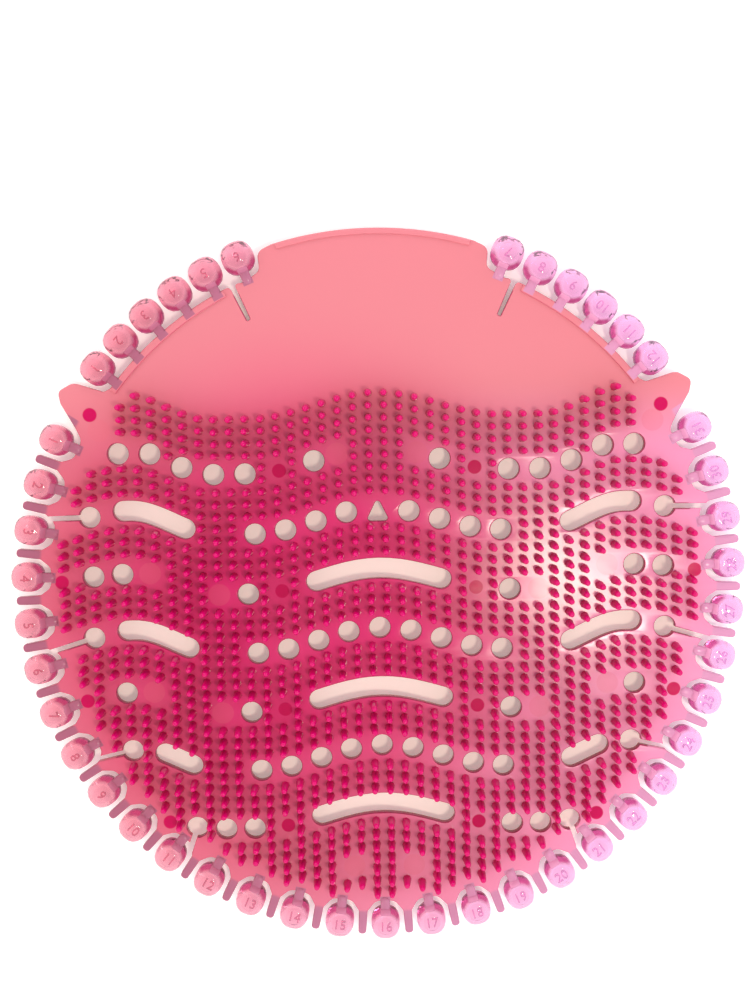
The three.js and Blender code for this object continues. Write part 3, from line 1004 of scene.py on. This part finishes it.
def moulding_colour(tree, place, uneven):
    """The colour of the plastic at each place, with painted light and shade in it."""
    # Painted side light across the plate, then the tab's own pink.
    rim = blend(tree, place["right"], SHADED_LEFT_PINK, LIT_RIGHT_PINK)
    rim = blend(tree, place["top"], rim, TAB_PINK)
    # Painted shade among the pegs, made uneven at random.
    peg_shade_share = times(tree, place["peg_shade"], between(tree, uneven, 0.75, 1.1))
    colour = blend(tree, peg_shade_share, rim, PEG_SHADE_PINK)
    colour = blend(tree, place["foot_spot"], colour, FOOT_CRIMSON)
    colour = blend(tree, times(tree, place["pin_spot"], 0.25), colour, PIN_PINK)
    # Painted shade on the walls and rounded edges of the openings.
    colour = blend(tree, place["wall"], colour, EDGE_SHADE_CRIMSON)
    # Painted side light on the necks and fingers.
    mauve = blend(tree, place["right"], SHADED_LEFT_MAUVE, LIT_RIGHT_MAUVE)
    colour = blend(tree, place["finger"], colour, mauve)
    # Painted side light on the beads.
    bead = blend(tree, place["right"], SHADED_LEFT_BEAD, LIT_RIGHT_BEAD)
    # Painted dark reflection inside the beads.
    bead = blend(tree, place["dark_reflection"], bead, DARK_REFLECTION_CRIMSON)
    colour = blend(tree, place["bead"], colour, bead)
    colour = blend(tree, place["neck"], colour, mauve)
    # The pegs' crimson, with painted shade darker at the root and lighter at the tip.
    colour = blend(tree, place["peg"], colour, blend(tree, place["tip"], SHADED_PEG_ROOT, LIT_PEG_TIP))
    return blend(tree, place["foot"], colour, FOOT_CRIMSON)


def moulding_relief(tree, place, glassy):
    """Ripples in the surface, and the ring round each bead's number, both as bump."""
    noise = {"Vector": place["position"], "Scale": 420.0, "Detail": 1.0}
    ripples = add_node(tree, "ShaderNodeTexNoise", noise).outputs[0]
    relief = maths(tree, "ADD", ripples, times(tree, place["ring"], 0.35))
    relief = times(tree, relief, between(tree, glassy, 0.05, 1.0))
    bump = {"Height": relief, "Strength": 0.6, "Distance": 0.0003}
    return add_node(tree, "ShaderNodeBump", bump).outputs[0]


def make_plastic():
    """Clear dyed plastic, deeper in colour where it is thick, with light and shade painted into its
    colour.
    """
    material = bpy.data.materials.new("scented_plastic")
    material.use_nodes = True
    tree = material.node_tree
    surface = tree.nodes["Principled BSDF"].inputs
    surface["IOR"].default_value = 1.45
    surface["Specular IOR Level"].default_value = 0.25
    spot = disc_place(tree)
    place = {**spot, **plate_places(tree, spot), **rim_places(tree, spot)}
    noise = {"Vector": place["position"], "Scale": 60.0, "Detail": 3.0}
    uneven = add_node(tree, "ShaderNodeTexNoise", noise).outputs[0]
    glassy = times(tree, place["bead"], maths(tree, "SUBTRACT", 1.0, place["neck"]))
    rough = between(tree, glassy, PLATE_ROUGHNESS, BEAD_ROUGHNESS)
    rough = times(tree, rough, between(tree, uneven, 0.6, 1.4))
    clear = between(tree, glassy, PLATE_CLEAR, BEAD_CLEAR)
    tree.links.new(moulding_colour(tree, place, uneven), surface["Base Color"])
    tree.links.new(clear, surface["Transmission Weight"])
    tree.links.new(rough, surface["Roughness"])
    tree.links.new(moulding_relief(tree, place, glassy), surface["Normal"])
    return material


plastic = make_plastic()

# %% [markdown]
# ## Placing the repeated parts
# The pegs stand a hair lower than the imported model's, to stay inside its box when they lean.

# %% Pegs
pegs = apply_tree(point_piece("pegs", peg_places, PLATE_TOP - SUNK), make_peg_tree(), plastic)
print("Pegs:", len(pegs.data.polygons), "faces")

# %% [markdown]
# The months stand beside the tab, and the days go round the rest of the rim. Each bead has its
# neck between it and the plate. The feet are sunk into the plate from below.

# %% Beads, necks and feet
BEAD_TOP = 3.7
MONTH_BEAD = (4.1, 4.1, BEAD_TOP)
DAY_BEAD = (3.75, 4.1, BEAD_TOP)
NECK_RING = 83.3
NECK_RISE = 0.35
NECK_SIZE = (1.25, 2.1, 1.25)
FOOT_RADIUS = 1.75


def in_metres(size):
    """The three sides of a size, turned from millimetres into metres."""
    return tuple(side * MM for side in size)


both_months = [sign * bearing for bearing in month_bearings for sign in (1, -1)]
both_days = [sign * bearing for bearing in day_bearings[:-1] for sign in (1, -1)] + [180]
bead_bearings = both_months + both_days
bead_turns = [math.radians(-bearing) for bearing in bead_bearings]
bead_sizes = [in_metres(MONTH_BEAD)] * len(both_months) + [in_metres(DAY_BEAD)] * len(both_days)
bead_tree = make_bead_tree()


def ring_piece(name, radius, height, sizes, settings=None):
    """The bead tree's shape at every bead's bearing, at a radius and a height."""
    places = [at_bearing(bearing, radius) for bearing in bead_bearings]
    points = point_piece(name, places, height, bead_turns, sizes)
    return apply_tree(points, bead_tree, plastic, settings)


beads = ring_piece("beads", BEAD_RING, PLATE_MIDDLE, bead_sizes)
necks = ring_piece(
    "necks",
    NECK_RING,
    PLATE_MIDDLE + NECK_RISE,
    [in_metres(NECK_SIZE)] * len(bead_bearings),
    {"Squareness": 4.0, "Segments": 12, "Rings": 8},
)
foot_length = FOOT_HEIGHT + SUNK
foot_sizes = [in_metres((FOOT_RADIUS, FOOT_RADIUS, foot_length))] * len(feet)
foot_points = point_piece("feet", feet, foot_length / 2, None, foot_sizes)
feet_stubs = apply_tree(foot_points, make_stub_tree(), plastic)
print("Beads:", len(beads.data.polygons), "faces; necks:", len(necks.data.polygons), "faces")

# %% [markdown]
# ## One moulding
# The plate, pegs, beads, necks and feet are joined into one closed mesh, so that light passes
# from one into the next without meeting a surface in between, as in the real moulding.


# %% Joining tree
def make_joining_tree(parts):
    """A tree that joins solid objects to a piece, one after another."""
    tree, given = new_tree("one_moulding", {})
    whole = given["Geometry"]
    for part in parts:
        other = add_node(tree, "GeometryNodeObjectInfo", {"Object": part}).outputs["Geometry"]
        join = add_node(tree, "GeometryNodeMeshBoolean", operation="UNION")
        join.solver = "MANIFOLD"
        tree.links.new(whole, join.inputs["Mesh 2"])
        tree.links.new(other, join.inputs["Mesh 2"])
        whole = join.outputs["Mesh"]
    finish_tree(tree, given, whole)
    return tree


parts = [pegs, *lips, beads, necks, feet_stubs]
screen = apply_tree(plate, make_joining_tree(parts), plastic)
screen.name = "moulded_screen"
for part in parts:
    bpy.data.objects.remove(part)
screen.data.shade_smooth()
screen.data.set_sharp_from_angle(angle=math.radians(50))

# %% [markdown]
# Its large flat faces keep their own direction, so that only the rounded edges shade smoothly.

# %% Flat faces
flat_faces = screen.modifiers.new("flat_faces", "WEIGHTED_NORMAL")
flat_faces.keep_sharp = True
bpy.context.view_layer.update()
weighted = bpy.data.meshes.new_from_object(screen.evaluated_get(bpy.context.evaluated_depsgraph_get()))
screen.modifiers.clear()
screen.data = weighted
print("The moulding has", len(screen.data.polygons), "faces")

# %% [markdown]
# ## Numbers
# Each bead has its plain number in low relief on top: 1 to 12 for the months and 1 to 31 for the
# days. They are raised only a tenth of a millimetre, so they show mostly as a bend in the light.

# %% Numbers on the beads
NUMBER_SIZE = 3.4
NUMBER_RELIEF = 0.1
NUMBER_SUNK = 0.25


def number_mesh(number, bearing):
    """The closed mesh of a number on the bead at a bearing, with its top towards the disc."""
    data = bpy.data.curves.new("number", "FONT")
    data.body = str(number)
    data.size = NUMBER_SIZE * MM
    data.extrude = NUMBER_SUNK * MM
    data.align_x = "CENTER"
    data.align_y = "CENTER"
    data.resolution_u = 2
    text = bpy.data.objects.new("number", data)
    bpy.context.collection.objects.link(text)
    bpy.context.view_layer.update()
    mesh = bpy.data.meshes.new_from_object(text.evaluated_get(bpy.context.evaluated_depsgraph_get()))
    bpy.data.objects.remove(text)
    close_mesh(mesh)
    level = PLATE_MIDDLE + BEAD_TOP + NUMBER_RELIEF - NUMBER_SUNK
    spot = to_metres(at_bearing(bearing, BEAD_RING), level)
    mesh.transform(Matrix.Translation(spot) @ Matrix.Rotation(math.radians(180 - bearing), 4, "Z"))
    return mesh


numbered = [(MONTHS_PER_SIDE + 1 + index, bearing) for index, bearing in enumerate(month_bearings)]
numbered += [(MONTHS_PER_SIDE - index, -bearing) for index, bearing in enumerate(month_bearings)]
numbered += [(2 * DAYS_PER_SIDE + 1 - index, bearing) for index, bearing in enumerate(day_bearings)]
numbered += [(1 + index, -bearing) for index, bearing in enumerate(day_bearings[:-1])]
numbers_work = bmesh.new()
for number, bearing in numbered:
    numbers_work.from_mesh(number_mesh(number, bearing))
numbers_mesh = bpy.data.meshes.new("bead_numbers")
numbers_work.to_mesh(numbers_mesh)
numbers_work.free()
numbers_mesh.materials.append(plastic)
numbers = bpy.data.objects.new("bead_numbers", numbers_mesh)
bpy.context.collection.objects.link(numbers)
print(len(numbered), "numbers,", len(numbers_mesh.polygons), "faces")

# %% [markdown]
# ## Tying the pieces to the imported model
# Both pieces belong to its one body, stand in for its one node and share one material slot.

# %% Body, node and slot
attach(numbers, "root")
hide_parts("screen")
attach(screen, "root")
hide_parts("screen")

# %% [markdown]
# ## Floor, light and camera
# The floor is a pale studio sheet under the feet. It shines a little by itself to whatever looks
# through the plastic, as the lit sheet under the real one does, and under the disc it is painted
# cream, a painted pool of the light that comes through the plastic.


# %% Floor
UNDER_DISC = (0.084, 0.078)
# Painted light: the warm tint of the light that comes through the plastic onto the sheet.
WARM_LIGHT_UNDER_DISC = (0.95, 0.80, 0.74)
SHEET_GLOW = 0.28
SHEET_REACH = 3.0
SHEET_LEVEL = -0.0001


def make_floor_material():
    """A matt white sheet with a faint grain, and a painted pool of warm light under the disc."""
    material = bpy.data.materials.new("studio_floor")
    material.use_nodes = True
    tree = material.node_tree
    surface = tree.nodes["Principled BSDF"].inputs
    place = add_node(tree, "ShaderNodeTexCoord").outputs["Object"]
    grain = add_node(tree, "ShaderNodeTexNoise", {"Vector": place, "Scale": 60.0})
    ramp = add_node(tree, "ShaderNodeValToRGB", {"Fac": grain.outputs[0]})
    ramp.color_ramp.elements[0].color = (0.93, 0.93, 0.92, 1)
    ramp.color_ramp.elements[1].color = (0.95, 0.95, 0.94, 1)
    middle = add_node(tree, "ShaderNodeVectorMath", {0: place}, operation="LENGTH").outputs["Value"]
    # Painted light: a pool of warm light under the disc.
    under = fade(tree, middle, *UNDER_DISC)
    tree.links.new(blend(tree, under, ramp.outputs[0], WARM_LIGHT_UNDER_DISC), surface["Base Color"])
    surface["Roughness"].default_value = 0.9
    rays = add_node(tree, "ShaderNodeLightPath").outputs
    kinds = [rays[name] for name in ("Is Camera Ray", "Is Transmission Ray", "Is Glossy Ray")]
    surface["Emission Color"].default_value = (1.0, 0.90, 0.84, 1)
    tree.links.new(times(tree, largest(tree, kinds), SHEET_GLOW), surface["Emission Strength"])
    return material


floor_mesh = bpy.data.meshes.new("floor")
corner_signs = [(-1, -1), (1, -1), (1, 1), (-1, 1)]
sheet = [(x * SHEET_REACH, y * SHEET_REACH, SHEET_LEVEL) for x, y in corner_signs]
floor_mesh.from_pydata(sheet, [], [(0, 1, 2, 3)])
floor = bpy.data.objects.new("floor", floor_mesh)
floor.data.materials.append(make_floor_material())
bpy.context.collection.objects.link(floor)
floor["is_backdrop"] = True

# %% [markdown]
# The room is bright low down and dim overhead, so that the plastic mirrors little grey light, and
# it is warmer on the left than on the right. One lamp gives the warm glare to the right of the
# middle.

# %% World and lamp
WARM_SIDE = (1.0, 0.94, 0.90)
COOL_SIDE = (0.93, 0.90, 1.0)
LOW_LIGHT = 2.5
OVERHEAD_LIGHT = 0.6
world = bpy.data.worlds.new("studio")
bpy.context.scene.world = world
world.use_nodes = True
sky = world.node_tree
heading = add_node(sky, "ShaderNodeTexCoord").outputs["Generated"]
axes = add_node(sky, "ShaderNodeSeparateXYZ", {0: heading}).outputs
room_tint = blend(sky, fade(sky, axes["X"], -0.8, 0.8), WARM_SIDE, COOL_SIDE)
room_light = between(sky, fade(sky, axes["Z"], 0.25, 0.95), LOW_LIGHT, OVERHEAD_LIGHT)
sky.links.new(room_tint, sky.nodes["Background"].inputs["Color"])
sky.links.new(room_light, sky.nodes["Background"].inputs["Strength"])

LAMP_PLACE = Vector((0.16, -0.095, 0.61))
LAMP_TARGET = Vector((0.05, 0.0, 0.0))
window = bpy.data.lights.new("window", "AREA")
window.shape = "RECTANGLE"
window.size = 0.055
window.size_y = 0.09
window.energy = 1.15
window.color = (1.0, 0.93, 0.76)
lamp = bpy.data.objects.new("window", window)
lamp.location = LAMP_PLACE
lamp.rotation_euler = (LAMP_TARGET - LAMP_PLACE).to_track_quat("-Z", "Y").to_euler()
bpy.context.collection.objects.link(lamp)

# %% [markdown]
# The camera looks almost straight down, from a little above the tab's side of the disc's middle.
# Its place and its three small turns are fitted to the photo.

# %% Camera
CAMERA_PLACE = Vector((-2.58, 46.24))
CAMERA_HEIGHT = 289
ROLL, PITCH, HEADING = 0.49, 4.9, 1.17
camera_data = bpy.data.cameras.new("camera")
camera_data.lens = 41.76
camera_data.sensor_width = 36.0
camera = bpy.data.objects.new("camera", camera_data)
eye = to_metres(CAMERA_PLACE, PLATE_TOP + CAMERA_HEIGHT)
turned = (
    Matrix.Rotation(math.radians(ROLL), 3, "Y")
    @ Matrix.Rotation(math.radians(PITCH), 3, "X")
    @ Matrix.Rotation(math.radians(HEADING), 3, "Z")
)
camera.matrix_world = Matrix.Translation(eye) @ turned.transposed().to_4x4()
bpy.context.collection.objects.link(camera)
bpy.context.scene.camera = camera
bpy.context.scene.view_settings.view_transform = "Standard"

# %% [markdown]
# ## Finish
# The visible model's box is measured and compared with the imported one's, and whether it lies inside is
# printed.

# %% Finish
model_low, model_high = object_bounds()
low_inside = all(a <= b + 1e-6 for a, b in zip(cad_low, model_low))
high_inside = all(a >= b - 1e-6 for a, b in zip(cad_high, model_high))
print("Inside the packed box:", low_inside and high_inside)
